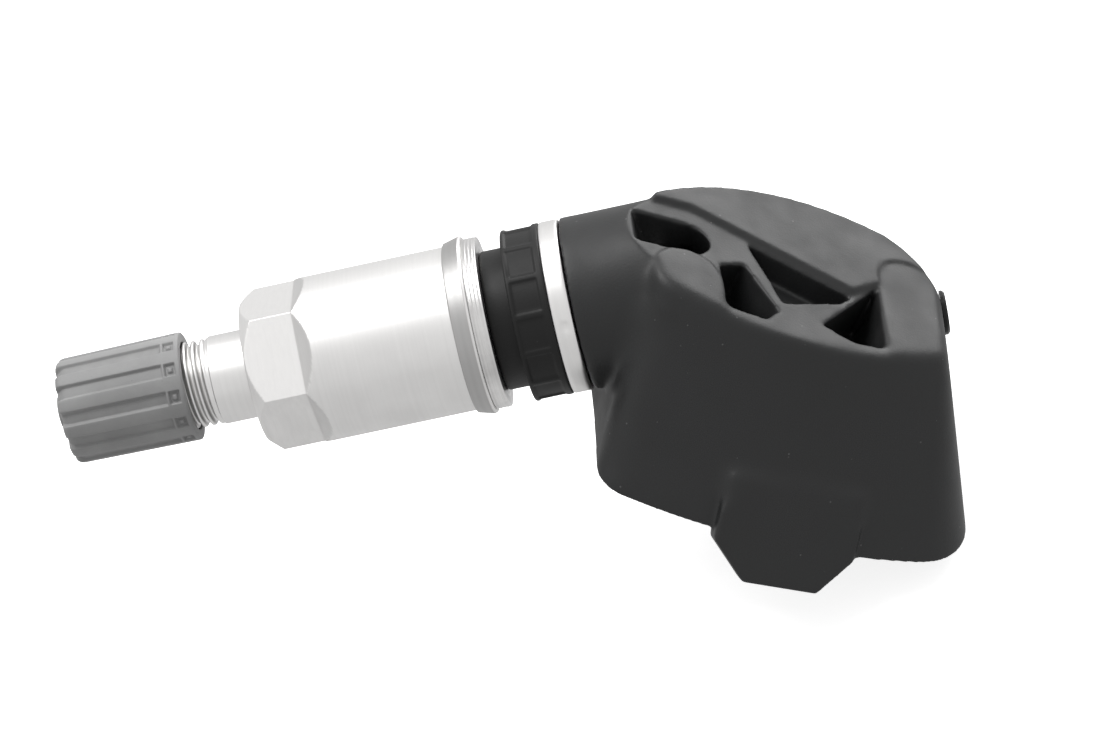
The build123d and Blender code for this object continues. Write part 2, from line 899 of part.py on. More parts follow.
os.makedirs("parts", exist_ok=True)
for number in range(capacitor_count):
    export_step(make_capacitor(number), f"parts/capacitor_{number + 1}.step")
for name, make in parts.items():
    part = make()
    export_step(part, f"parts/{name}.step")
    print(name, "written")
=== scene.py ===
# %% [markdown]
# # A tyre pressure sensor
# The sensor is clamped in a wheel's valve hole: a metal valve with cap and nut on one side of the rim, and a
# plastic housing with electronics on the other. Its solids are already packed as a fixed frame, which is never
# moved or changed. This lesson dresses them: it adds the fine forms that a plain solid leaves out, such as
# threads, grooves and moulded edges, and gives every surface its material. Blender counts in metres, and the
# formulas of the shapes are in millimetres.

# %% Load the frame
import json
import bpy
import bmesh
import numpy as np
from mathutils import Matrix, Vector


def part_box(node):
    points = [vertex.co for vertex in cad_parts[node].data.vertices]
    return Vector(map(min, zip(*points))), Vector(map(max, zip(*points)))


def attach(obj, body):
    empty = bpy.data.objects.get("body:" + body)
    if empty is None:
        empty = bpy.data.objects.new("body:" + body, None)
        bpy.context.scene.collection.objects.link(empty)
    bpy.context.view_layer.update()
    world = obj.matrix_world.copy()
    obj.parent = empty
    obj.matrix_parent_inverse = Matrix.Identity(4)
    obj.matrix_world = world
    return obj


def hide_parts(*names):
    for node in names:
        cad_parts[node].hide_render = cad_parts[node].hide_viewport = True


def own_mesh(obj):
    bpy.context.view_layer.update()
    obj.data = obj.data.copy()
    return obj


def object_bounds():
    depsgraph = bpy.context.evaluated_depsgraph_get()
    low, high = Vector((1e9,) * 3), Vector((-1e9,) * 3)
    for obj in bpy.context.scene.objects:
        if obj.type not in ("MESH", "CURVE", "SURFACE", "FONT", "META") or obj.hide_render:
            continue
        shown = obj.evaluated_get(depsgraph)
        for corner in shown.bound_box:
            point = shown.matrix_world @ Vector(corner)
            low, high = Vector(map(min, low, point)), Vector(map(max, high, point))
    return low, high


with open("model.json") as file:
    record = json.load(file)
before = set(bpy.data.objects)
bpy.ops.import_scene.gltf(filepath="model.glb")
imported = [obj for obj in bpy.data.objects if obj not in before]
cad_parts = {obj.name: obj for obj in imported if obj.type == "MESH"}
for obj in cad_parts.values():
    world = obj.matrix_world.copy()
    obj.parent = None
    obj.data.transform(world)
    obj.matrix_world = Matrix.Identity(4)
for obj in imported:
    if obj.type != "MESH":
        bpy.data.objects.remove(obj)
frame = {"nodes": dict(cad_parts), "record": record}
nodes = frame["nodes"]
cad_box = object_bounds()
mm = 0.001

# %% [markdown]
# ## Turned shapes
# Nearly everything on the valve, turned or moulded, is round about one axis, so it is a surface of revolution about
# X. A Screw modifier could turn a drawn line, but threads, flats and grooves change the radius with the angle, so
# the surface is worked out as a grid instead. It starts from a profile: a closed line of stations and radii in
# millimetres.

# %% Profile with rounded corners
def rounded(corners, steps=5):
    """Profile line: each corner (x, r, radius) becomes an arc of about that radius that touches both its sides.

    The arc starts at distance radius / tan(half the corner's angle) from the corner and follows a quadratic
    curve whose middle control point is the corner itself.
    """
    points = np.array([c[:2] for c in corners], float)
    line = []
    for i, (x, r, radius) in enumerate(corners):
        here = points[i]
        before, after = points[i - 1] - here, points[(i + 1) % len(points)] - here
        if radius == 0 or r == 0:
            line.append(here)
            continue
        a, b = before / np.linalg.norm(before), after / np.linalg.norm(after)
        half = 0.5 * np.arccos(np.clip(a @ b, -1, 1))
        reach = min(radius / np.tan(half), 0.45 * np.linalg.norm(before), 0.45 * np.linalg.norm(after))
        for t in np.linspace(0, 1, steps):
            line.append(here + a * reach * (1 - t) ** 2 + b * reach * t ** 2)
    return np.array(line)


def finer(line, start, end, step, over=0.0):
    """The same line, with each side whose middle lies from start to end, and not below a radius, cut into steps."""
    out = []
    for here, there in zip(line, np.roll(line, -1, axis=0)):
        length = np.linalg.norm(there - here)
        x, r = 0.5 * (here + there)
        count = int(np.ceil(length / step)) if start < x < end and r >= over else 1
        out += [here + (there - here) * k / count for k in range(count)]
    return np.array(out)


print("a square with rounded corners has", len(rounded([(0, 1, .2), (0, 2, .2), (1, 2, .2), (1, 1, .2)])), "points")

# %% [markdown]
# A turned piece is the grid of the profile's points by the columns' angles. The angle starts at the top and runs
# towards the camera, which is the right-hand sense about +X. Where the profile meets the axis a whole row falls
# on one point, so doubled vertices are merged, and the surface closes without a hole or a seam.

# %% Turned pieces
def add_mesh(name, vertices, quads):
    """Mesh object from vertices in millimetres and quads, with doubles merged and its faces turned outward."""
    data = bpy.data.meshes.new(name)
    data.from_pydata((vertices * mm).tolist(), [], quads.tolist())
    work = bmesh.new()
    work.from_mesh(data)
    bmesh.ops.remove_doubles(work, verts=work.verts, dist=1e-7)
    bmesh.ops.recalc_face_normals(work, faces=work.faces)
    work.to_mesh(data)
    work.free()
    data.shade_smooth()
    piece = bpy.data.objects.new(name, data)
    bpy.context.scene.collection.objects.link(piece)
    print(name + ":", len(data.polygons), "faces")
    return piece


def grid_quads(rows, columns, close_rows):
    """Corners of the quads of a grid whose columns close, and whose last row meets the first if close_rows."""
    i, j = np.meshgrid(np.arange(rows if close_rows else rows - 1), np.arange(columns), indexing="ij")
    next_i, next_j = (i + 1) % rows, (j + 1) % columns
    return np.stack([i * columns + j, next_i * columns + j, next_i * columns + next_j, i * columns + next_j], axis=-1)


def turned(name, line, angles, shape=None):
    """Closed surface with y = -r sin(angle) and z = r cos(angle); shape(x, r, angle) gives the real radius."""
    angle = np.radians(angles)[None, :]
    x = np.repeat(line[:, :1], len(angles), axis=1)
    r = np.repeat(line[:, 1:], len(angles), axis=1)
    if shape is not None:
        r = shape(x, r, np.degrees(angle) + 0 * r)
    grid = np.stack([x, -r * np.sin(angle), r * np.cos(angle)], axis=-1)
    off_axis = (line[:, 1] > 0) | (np.roll(line[:, 1], -1) > 0)
    quads = grid_quads(*r.shape, close_rows=True)[off_axis]
    return add_mesh(name, grid.reshape(-1, 3), quads.reshape(-1, 4))


print("a closed grid of 3 rows and 4 columns has", grid_quads(3, 4, close_rows=True).size // 4, "quads")

# %% [markdown]
# Grooves, pockets and threads all start and stop somewhere. A hard step would need far more points and would look
# cut with a knife, so every start and stop is a smooth curve over a short blur.

# %% Smooth steps
def ease(value, low, high):
    """0 below low, 1 above high, and the smooth curve 3 t^2 - 2 t^3 between them."""
    t = np.clip((value - low) / (high - low), 0, 1)
    return t * t * (3 - 2 * t)


def band(value, start, end, blur):
    """1 between start and end, 0 outside, with edges that are blur wide."""
    return ease(value, start - blur / 2, start + blur / 2) * (1 - ease(value, end - blur / 2, end + blur / 2))


print("band at its edge and middle:", band(np.array([0.0, 0.5]), 0, 1, 0.2))

# %% [markdown]
# ## Valve cap
# The cap is moulded plastic with twelve grooves along it for the fingers. Each groove ends at a small window in
# the plain rim, and the closed end carries the nub where the plastic was injected. Cutters could make the grooves
# one by one, but as a change of radius they all come from one formula and their edges stay soft.

# %% Shape of the valve cap
cap_grooves = 12
cap_pitch = 360 / cap_grooves
cap_phase = -2.0
groove_half, groove_depth, groove_end = 0.58, 0.3, -31.25
scallop_depth = 0.3
window_half, window_depth, window_span = 0.55, 0.3, (-30.98, -30.05)
block_half, block_height, block_span = 0.24, 0.2, (-30.7, -30.3)
edge_blur = 0.14


def cap_shape(x, r, angle):
    """Radius less a groove at every pitch and a window past its end, which keeps a small block at its middle.

    The groove gets deeper over 0.7 mm near the closed end, where it scallops the rim, and fades out towards the
    nub.
    """
    off = (angle - cap_phase + 0.5 * cap_pitch) % cap_pitch - 0.5 * cap_pitch
    across = np.radians(off) * r
    outer = np.where(x < -40.0, ease(r, 2.4, 3.6), r > 4.2)
    depth = groove_depth + scallop_depth * (1 - ease(x, -40.7, -40.0))
    groove = band(across, -groove_half, groove_half, 0.22) * band(x, -42.0, groove_end, 0.18) * depth
    window = band(across, -window_half, window_half, edge_blur) * band(x, *window_span, edge_blur) * window_depth
    block = band(across, -block_half, block_half, edge_blur) * band(x, *block_span, edge_blur) * block_height
    return r - outer * (groove + window - block)


print("groove pitch: %.1f degrees" % cap_pitch)

# %% [markdown]
# The columns lie close together across a groove and far apart over the rib, and the stations lie closest at the
# windows, so the faces are spent where the edges are.

# %% Valve cap
cap_line = rounded([
    (-41.5, 0, 0), (-41.5, 1.6, 0.25), (-40.9, 1.6, 0.1), (-40.9, 4.7, 0.7), (-29.6, 4.85, 0.22),
    (-29.6, 3.95, 0.1), (-38.95, 3.95, 0.1), (-38.95, 0, 0),
], steps=7)
cap_line = finer(finer(cap_line, -40.7, -31.5, 0.3), -31.5, -29.8, 0.07)
groove_reach = 8.8
cap_columns = np.concatenate([
    np.linspace(-groove_reach, groove_reach, 23, endpoint=False),
    np.linspace(groove_reach, cap_pitch - groove_reach, 5, endpoint=False),
])
cap_angles = np.concatenate([cap_columns + cap_phase + cap_pitch * k for k in range(cap_grooves)])
valve_cap = turned("cap_ribbed", cap_line, cap_angles, cap_shape)

# %% [markdown]
# ## Valve stem
# The stem is one turned metal tube: the cap's thread, a smooth neck and the flange that shows as a bright ring
# behind the grommet. Its thread is 7.7 mm across with 32 turns to the inch. A helical sweep would leave loose
# ends, while a wave along x / pitch - angle / 360 is a true right-hand thread that fades into the neck.

# %% Shape of the valve stem
thread_pitch, thread_radius, thread_depth = 0.794, 3.85, 0.45
thread_span = (-36.9, -27.6)
flange_radius = 7.65
nick_angles, nick_span, nick_depth = (62.0, 65.5), (4.1, 4.7), 0.3


def thread_wave(x, angle):
    """Distance below the crests, from 0 to 1: flat crest, sloping flanks and a narrow round root."""
    t = (x / thread_pitch - angle / 360) % 1.0
    return ease(1 - np.abs(2 * t - 1), 0.12, 0.9)


def stem_shape(x, r, angle):
    """Radius less the thread's depth over its length, and less a small nick in the flange."""
    thread = thread_depth * thread_wave(x, angle) * band(x, *thread_span, 0.5)
    nick = nick_depth * band(angle, *nick_angles, 1.5) * band(x, *nick_span, 0.3)
    return r - np.where(np.abs(r - thread_radius) < 0.01, thread, 0) - np.where(r > flange_radius - 0.05, nick, 0)


print("turns to the inch: %.1f" % (25.4 / thread_pitch))

# %% [markdown]
# The profile runs once round the wall of the tube: along the outside to the foot that sits in the housing, and
# back through the bore, which is narrow in the middle and widens to the seat of the valve core. Only the thread
# and the flange need close stations.

# %% Valve stem
stem_line = rounded([
    (-37, 2.65, 0.15), (-37, thread_radius, 0.35), (-27.3, thread_radius, 0.05), (-27.2, 3.95, 0.05),
    (-5.2, 3.95, 0.05), (-5.2, 4.6, 0.1), (3.4, 4.6, 0.05), (3.4, flange_radius, 0.25),
    (5.15, flange_radius, 0.25), (5.15, 4.5, 0.1), (10.55, 4.5, 0.2), (10.55, 2.0, 0.1), (4.95, 2.0, 0.05),
    (4.95, 1.3, 0.05), (-17.1, 1.3, 0.05), (-18, 2.2, 0.05), (-29.6, 2.2, 0.05), (-29.6, 2.65, 0.05),
], steps=4)
stem_line = finer(finer(stem_line, -36.7, -27.3, 0.07, over=3.7), 3.3, 5.3, 0.2)
valve_stem = turned("stem_threaded", stem_line, np.arange(120) * 3.0, stem_shape)

# %% [markdown]
# Metal shows what stands round it. In the photograph each turn of the thread has two dark lines, which look like
# mirrored dark surroundings, and this plain white studio has none. So the tone is painted: each point stores how
# much darker its metal is, and the metal's material reads it. It is a stand-in for the surroundings, its strength
# was chosen to match the photograph, and it stays under any other light.

# %% Painted reflections and shade
def read(data, kind, field, width, dtype):
    """One field of a mesh's vertices or edges as an array."""
    items = getattr(data, kind)
    values = np.empty(len(items) * width, dtype)
    items.foreach_get(field, values)
    return values.reshape(-1, width)


def shade(piece, tone):
    """Stores tone(x, r, angle), 0 for as it is and 1 for black, on each point as the attribute shade."""
    x, y, z = read(piece.data, "vertices", "co", 3, np.float32).T * 1000
    values = tone(x, np.hypot(y, z), np.degrees(np.arctan2(-y, z))).astype(np.float32)
    piece.data.attributes.new("shade", "FLOAT", "POINT").data.foreach_set("value", values)
    print(piece.name, "darkest tone: %.2f" % values.max())


def stem_painted_reflection(x, r, angle):
    """Painted reflection of dark surroundings halfway down both flanks, so each turn of the thread shows two dark
    lines.
    """
    flank = 1 - np.abs(2 * thread_wave(x, angle) - 1)
    return 0.55 * ease(flank, 0.15, 0.85) * band(x, *thread_span, 0.4) * band(r, 3.3, 3.88, 0.02)


# The thread's flanks get a painted reflection of dark surroundings, stored as the attribute shade.
shade(valve_stem, stem_painted_reflection)

# %% [markdown]
# ## Sleeve nut
# The nut is a long sleeve with six flats milled into its outer end and a flange that presses on the washer. A
# milled flat is a plane, which lies at reach / cos(angle from the flat's middle) from the axis. The metal that is
# left is wherever both the turned form and the hexagon are, so the smaller of the two radii is the surface. That
# gives the curved ends of the flats on the bevel exactly, with no cutting.

# %% Shape of the sleeve nut
nut_flats = 6
nut_pitch = 360 / nut_flats
nut_phase = 12.0
nut_radius, flat_reach, ramp_rise = 7.325, 6.3, 1.03
flat_end, ramp_end = -18.9, -17.6


def nut_shape(x, r, angle):
    """The smaller of the turned radius and the hexagon's; each flat runs out up a ramp at its inner end."""
    off = (angle - nut_phase) % nut_pitch - 0.5 * nut_pitch
    ramp = ramp_rise * np.clip((x - flat_end) / (ramp_end - flat_end), 0, 1)
    flat = (flat_reach + ramp) / np.cos(np.radians(off))
    return np.where((r > 6.0) & (x < ramp_end), np.minimum(r, flat), r)


print("across the flats: %.1f mm" % (2 * flat_reach))

# %% [markdown]
# The corners of the hexagon are sharp on the real nut, so extra columns lie close to each corner, and edges over
# 14 degrees are marked sharp. Everything flatter is shaded as one smooth surface.

# %% Sleeve nut
nut_line = rounded([
    (-23.75, 4.45, 0.05), (-23.75, 6.2, 0.1), (-22.5, nut_radius, 0.15), (flat_end, nut_radius, 0),
    (ramp_end, nut_radius, 0), (-5.25, nut_radius, 0.05), (-5.15, 7.58, 0.08), (-3.75, 7.95, 0.1),
    (-3.5, 7.85, 0.1), (-3.5, 5.6, 0.1), (-15.1, 5.6, 0.1), (-15.1, 4.05, 0.1), (-23.4, 4.05, 0.05),
])
nut_line = finer(finer(finer(nut_line, -23.7, ramp_end, 0.12), ramp_end, -5.3, 0.8), -5.3, -3.55, 0.12)
nut_columns = np.concatenate([[-0.6, -0.2, 0.2, 0.6], np.linspace(2, nut_pitch - 2, 29)])
nut_angles = np.concatenate([nut_phase + nut_pitch * k + nut_columns for k in range(nut_flats)])
sleeve_nut = turned("nut_milled", nut_line, nut_angles, nut_shape)
sleeve_nut.data.set_sharp_from_angle(angle=np.radians(14))

# %% [markdown]
# The ramps at the flats' ends and the cone of the flange are darker than the rest of the nut in the photograph.
# Their painted shade stands in for faces that tilt away and mirror darker surroundings, and is stored in the same way
# as on the thread.

# %% Painted shade on the sleeve nut
def nut_painted_shade(x, r, angle):
    """Painted shade on the ramps, which lie below the round of the nut, and on the flange's cone."""
    return 0.17 * band(x, flat_end, ramp_end, 0.02) * (r < 7.3) + 0.45 * band(x, -5.22, -3.72, 0.05) * (r > 7.4)


# The ramps and the flange's cone get painted shade, stored as the attribute shade.
shade(sleeve_nut, nut_painted_shade)

# %% [markdown]
# ## Washer
# The washer between nut and grommet has fine turned lines round its edge. They are deep enough to catch the light
# one by one, so they are real grooves and not a bump: a cosine of the station.

# %% Washer
line_step, line_depth = 0.325, 0.04
washer_start, washer_end = -3.5, -2.2


def washer_shape(x, r, angle):
    """Radius less a cosine wave of the station, one wave to each line."""
    wave = 0.5 - 0.5 * np.cos(2 * np.pi * (x - washer_end) / line_step)
    return r - np.where(r > 7.5, line_depth * wave, 0)


washer_line = rounded([
    (washer_start, 4.65, 0.1), (washer_start, 7.62, 0.12), (washer_end, 7.62, 0.12), (washer_end, 4.65, 0.1),
])
washer_line = finer(washer_line, washer_start + 0.01, washer_end - 0.01, 0.05)
washer = turned("washer_grooved", washer_line, np.arange(96) * 3.75, washer_shape)

# %% [markdown]
# ## Grommet
# The rubber grommet seals the wheel's hole. Its nose fills the hole, and its thick band carries fourteen shallow
# pockets that leave soft bars between them. They could be cut out with blocks, but rubber has no sharp edges, so
# they are a change of the radius with a wide blur.

# %% Grommet
pockets = 14
pocket_step = 360 / pockets
pocket_start, pocket_width, pocket_depth = 53.0, 21.5, 0.14
pocket_span, side_blur, end_blur = (0.4, 2.75), 2.4, 0.3


def grommet_shape(x, r, angle):
    """Radius less the pockets; the second band is the first edge of the next pocket, met from below."""
    off = (angle - pocket_start) % pocket_step
    pocket = band(off, 0.0, pocket_width, side_blur) + band(off, pocket_step, pocket_step + 2, side_blur)
    return r - np.where(r > 7.5, pocket_depth * pocket * band(x, *pocket_span, end_blur), 0)


grommet_line = rounded([
    (-2.2, 4.62, 0.1), (-2.2, 6.2, 0.35), (0, 6.2, 0.1), (0, 7.65, 0.2), (3.4, 7.65, 0.2), (3.4, 4.62, 0.1),
])
pocket_columns = np.concatenate([
    np.linspace(-0.9, 0.9, 6), np.linspace(3, 18.5, 6), np.linspace(20.6, 22.4, 6), [23.5],
])
grommet_angles = np.concatenate([pocket_start + pocket_step * k + pocket_columns for k in range(pockets)])
grommet = turned("grommet_pocketed", finer(grommet_line, 0.02, 3.3, 0.08), grommet_angles, grommet_shape)

# %% [markdown]
# ## Spring of the valve core
# A small spring of round wire holds the core's pin shut. It is a circle carried along a helix, with both ends closed
# to a point. When the pin is pressed in, the real spring gets shorter, while this piece is built at the length of its
# solid.

# %% Spring of the valve core
def coil(name, start, end, radius, wire, turns, steps=24, sides=10):
    """Closed round wire: its middle is at x from start to end, y = radius cos(turn) and z = radius sin(turn)."""
    share = np.concatenate([[0], np.linspace(0, 1, turns * steps + 1), [1]])
    thick = np.full(len(share), wire)
    thick[[0, -1]] = 0
    turn = (2 * np.pi * turns * share)[:, None]
    around = (2 * np.pi * np.arange(sides) / sides)[None, :]
    reach = radius + thick[:, None] * np.cos(around)
    x = start + (end - start) * share[:, None] + thick[:, None] * np.sin(around)
    grid = np.stack([x, reach * np.cos(turn), reach * np.sin(turn)], axis=-1)
    return add_mesh(name, grid.reshape(-1, 3), grid_quads(*x.shape, close_rows=False).reshape(-1, 4))


spring_low, spring_high = (1000 * corner.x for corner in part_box("core_spring"))
spring_radius, spring_wire, spring_turns = 0.825, 0.12, 6
end_gap = spring_wire + 0.02
spring = coil("spring_wound", spring_low + end_gap, spring_high - end_gap, spring_radius, spring_wire, spring_turns)
print("spring: %.2f mm long" % (spring_high - spring_low))

# %% [markdown]
# ## Housing
# The housing is one moulding with a collar for the stem, a flared box and a foot panel, and its mould left a small
# radius on every edge. A Bevel modifier needs clean edges, and many edges here run out into curved walls. So a
# fine voxel skin is laid over a copy of the solid and then smoothed. The voxels lie along the slope of the base,
# because a plane that crosses them at a slant comes out in steps.

# %% Voxel skin
skin_voxel = 0.00017
housing_tilt = 28.5


def skin(node, voxel, tilt):
    """Mesh of a solid's voxel skin; the copy is turned about Y by the tilt for it, and back again afterwards."""
    piece = bpy.data.objects.new("skin", nodes[node].data.copy())
    bpy.context.scene.collection.objects.link(piece)
    lay = Matrix.Rotation(np.radians(tilt), 4, "Y")
    work = bmesh.new()
    work.from_mesh(piece.data)
    bmesh.ops.remove_doubles(work, verts=work.verts, dist=1e-7)
    work.transform(lay.inverted())
    work.to_mesh(piece.data)
    work.free()
    remesh = piece.modifiers.new("skin", "REMESH")
    remesh.mode = "VOXEL"
    remesh.voxel_size = voxel
    made = bpy.data.meshes.new_from_object(piece.evaluated_get(bpy.context.evaluated_depsgraph_get()))
    bpy.data.objects.remove(piece)
    made.transform(lay)
    return made


housing_mesh = skin("housing_shell", skin_voxel, housing_tilt)
points = read(housing_mesh, "vertices", "co", 3, np.float64) * 1000
edges = read(housing_mesh, "edges", "vertices", 2, np.int64)
print("skin:", len(points), "points")

# %% [markdown]
# The real housing is crisp in some places and soft in others, while a Smooth modifier rounds everything alike. So
# every point gets a weight for each place, made of distances: from the front edge of the top, which is a parabola,
# from the front left corner, which is a straight line from top to base, from the outline of the foot panel, and
# from the collar. They are measured in the housing's own frame, where u runs down the slope of the base, v across
# it, and w stands square to it.

# %% Where the housing is soft
own_x, own_z, tilt, top_slope = 10.78, 8.065, np.radians(housing_tilt), np.radians(5.5)
edge_front, edge_bow, edge_middle, edge_half = -9.8, 3.2, 17.0, 13.5
corner_top, corner_base = (4.0, -7.6, -1.0), (4.2, -15.0, -18.0)
panel_left, panel_right, panel_top, wall_front = 12.6, 25.0, -12.6, -9.0
collar_radius = 7.9


def near(distance, inner, outer):
    """1 closer than inner, 0 beyond outer."""
    return 1 - ease(distance, inner, outer)


def to_line(points, start, end):
    """Distance of points from the straight line between two points."""
    start, along = np.array(start, float), np.subtract(end, start)
    t = np.clip((points - start) @ along / (along @ along), 0, 1)
    return np.linalg.norm(points - start - t[:, None] * along, axis=1)


u = (points[:, 0] - own_x) * np.cos(tilt) - (points[:, 2] - own_z) * np.sin(tilt)
v = points[:, 1]
w = (points[:, 0] - own_x) * np.sin(tilt) + (points[:, 2] - own_z) * np.cos(tilt)
over_top = (w + u * np.tan(top_slope)) * np.cos(top_slope)
off_axis = np.hypot(points[:, 1], points[:, 2])

edge_v = edge_front + edge_bow * ((u - edge_middle) / edge_half) ** 2
edge = near(np.hypot(v - edge_v, over_top - 0.1), 0.9, 2.6) * band(u, 0, 31.5, 2)
corner = near(to_line(np.stack([u, v, w], axis=1), corner_top, corner_base), 2.2, 4.5) * band(w, -16.6, -3.2, 2.0)
in_front = v < wall_front
panel = near(np.abs(w - panel_top), 0.9, 2.2) * band(u, 10.5, 27, 1.5) * in_front
panel_sides = near(np.minimum(np.abs(u - panel_left), np.abs(u - panel_right)), 0.7, 1.6)
panel_sides = panel_sides * in_front * band(w, -15.0, -11, 2.0)
collar = near(np.abs(off_axis - collar_radius), 0.7, 1.8) * near(over_top, -1.2, -0.5)
collar = collar * band(points[:, 0], 6.5, 30, 1.0)
print("length of the skin down the slope: %.1f mm" % (u.max() - u.min()))

# %% [markdown]
# Smoothing moves each point, by weight, towards the mean of its neighbours. The more rounds a place gets, the
# wider its curve: six rounds all over melt the steps of the voxels, and the front left corner, which is the
# softest, gets 260.

# %% Smooth the skin
def relax(points, edges, weight, rounds):
    """Moves each point, weight times half of the way, to the mean of its neighbours, so many times."""
    ends = np.concatenate([edges[:, 0], edges[:, 1]])
    others = np.concatenate([edges[:, 1], edges[:, 0]])
    live = weight[ends] > 0
    ends, others = ends[live], others[live]
    count = np.maximum(np.bincount(ends, minlength=len(points)), 1)
    for _ in range(rounds):
        for k in range(3):
            mean = np.bincount(ends, points[others, k], len(points)) / count
            points[:, k] += 0.5 * weight * (mean - points[:, k])


soft_places = {
    "all over": (np.ones(len(points)), 6),
    "foot panel": (np.maximum(panel, panel_sides), 90),
    "collar": (collar, 60),
    "front left corner": (corner, 260),
    "front edge": (edge, 35),
}
for place, (weight, rounds) in soft_places.items():
    relax(points, edges, weight, rounds)
    print("%s: %d points, %d rounds" % (place, (weight > 0).sum(), rounds))

# %% [markdown]
# The skin has far more faces than its flat walls need. A Decimate modifier merges them where the surface is flat
# and keeps them where it curves, so the piece stays light and the soft places stay round.

# %% Housing
most_triangles = 190000


def triangles(mesh):
    """Number of triangles in a mesh: a polygon with n corners makes n - 2 of them."""
    return len(mesh.loops) - 2 * len(mesh.polygons)


housing_mesh.vertices.foreach_set("co", (points * mm).ravel())
housing = bpy.data.objects.new("housing_moulded", housing_mesh)
bpy.context.scene.collection.objects.link(housing)
fewer = housing.modifiers.new("fewer", "DECIMATE")
fewer.ratio = most_triangles / triangles(housing_mesh)
housing.data = bpy.data.meshes.new_from_object(housing.evaluated_get(bpy.context.evaluated_depsgraph_get()))
housing.modifiers.clear()
housing.data.name = "housing_moulded"
housing.data.shade_smooth()
print("housing:", triangles(housing.data), "triangles in", len(housing.data.polygons), "faces")

# %% [markdown]
# ## Materials
# Three shared effects cover every surface: moulded plastic and rubber, turned metal, and poured or plated
# surfaces. Pictures could be laid on the pieces, but each piece would have to be unwrapped first, and close up the
# pixels would show. Noise that is worked out in the object's own space has neither fault. An effect is a node
# group with named sockets, which hands colour, roughness and height to the material's shader.

# %% Node helpers
def add(tree, kind, inputs=None, **settings):
    """New shader node; inputs are values or the outputs of other nodes, by socket name or number."""
    made = tree.nodes.new("ShaderNode" + kind)
    for key, value in settings.items():
        setattr(made, key, value)
    for key, value in (inputs or {}).items():
        if isinstance(value, bpy.types.NodeSocket):
            tree.links.new(value, made.inputs[key])
        else:
            made.inputs[key].default_value = value
    return made


def sum_of(tree, first, second):
    """Output that is the sum of two values."""
    return add(tree, "Math", {0: first, 1: second}, operation="ADD").outputs[0]


def product_of(tree, first, second):
    """Output that is the product of two values."""
    return add(tree, "Math", {0: first, 1: second}, operation="MULTIPLY").outputs[0]


def blend_colour(tree, factor, first, second):
    """Mix of two colours: first where the factor is 0 and second where it is 1."""
    return add(tree, "Mix", {"Factor": factor, 6: first, 7: second}, data_type="RGBA").outputs[2]


def stretch(tree, value, low, high, out_low, out_high):
    """Straight-line map of a value from one range to another, clamped."""
    return add(tree, "MapRange", {"Value": value, "From Min": low, "From Max": high, "To Min": out_low,
                                  "To Max": out_high}).outputs["Result"]


def effect(name, inputs):
    """Makes a shader group with named inputs; returns its tree, input and output sockets and the object's space."""
    tree = bpy.data.node_groups.new(name, "ShaderNodeTree")
    for label, value in inputs.items():
        kind = "NodeSocketColor" if isinstance(value, tuple) else "NodeSocketFloat"
        tree.interface.new_socket(label, in_out="INPUT", socket_type=kind).default_value = value
    tree.interface.new_socket("Color", in_out="OUTPUT", socket_type="NodeSocketColor")
    for label in ("Roughness", "Height"):
        tree.interface.new_socket(label, in_out="OUTPUT", socket_type="NodeSocketFloat")
    given = tree.nodes.new("NodeGroupInput").outputs
    result = tree.nodes.new("NodeGroupOutput").inputs
    space = add(tree, "TexCoord").outputs["Object"]
    print("effect:", name, "with the inputs", ", ".join(inputs))
    return tree, given, result, space


# %% [markdown]
# Moulded plastic and rubber show the fine grain of the mould, a faint cloud of paler colour and a little dust.
# The grain is a small noise that raises the surface. The dust comes from Voronoi cells: each cell has one spot,
# and a chance value of the cell decides whether it shows, which leaves about one spot in eight.

# %% Moulded plastic and rubber
dust_grey = (0.12, 0.12, 0.12, 1)
moulded, given, result, space = effect("moulded", {
    "Base": (0.03, 0.03, 0.03, 1), "Pale": (0.06, 0.06, 0.06, 1), "Grain": 5000.0, "Roughness": 0.5, "Dust": 0.3,
})
grain = add(moulded, "TexNoise", {"Vector": space, "Scale": given["Grain"], "Detail": 2.0}).outputs["Fac"]
cloud = add(moulded, "TexNoise", {"Vector": space, "Scale": 260.0, "Detail": 4.0}).outputs["Fac"]
cells = add(moulded, "TexVoronoi", {"Vector": space, "Scale": 1150.0, "Randomness": 1.0})
spot = stretch(moulded, cells.outputs["Distance"], 0.07, 0.12, 1.0, 0.0)
chance = add(moulded, "SeparateColor", {"Color": cells.outputs["Color"]}).outputs[0]
dust = product_of(moulded, spot, stretch(moulded, chance, 0.86, 0.9, 0.0, 1.0))
dust = product_of(moulded, dust, given["Dust"])
colour = blend_colour(moulded, stretch(moulded, cloud, 0.35, 0.7, 0.0, 1.0), given["Base"], given["Pale"])
uneven = stretch(moulded, cloud, 0.3, 0.7, -0.06, 0.06)
moulded.links.new(blend_colour(moulded, dust, colour, dust_grey), result["Color"])
moulded.links.new(sum_of(moulded, given["Roughness"], uneven), result["Roughness"])
moulded.links.new(grain, result["Height"])

# %% [markdown]
# A lathe tool leaves fine lines round the axis. They come from a noise that is given only the station and the
# distance from the axis, so it is the same all the way round. A second noise clouds the metal a little. The tone
# that was painted on the points is read here, and takes the colour towards black.

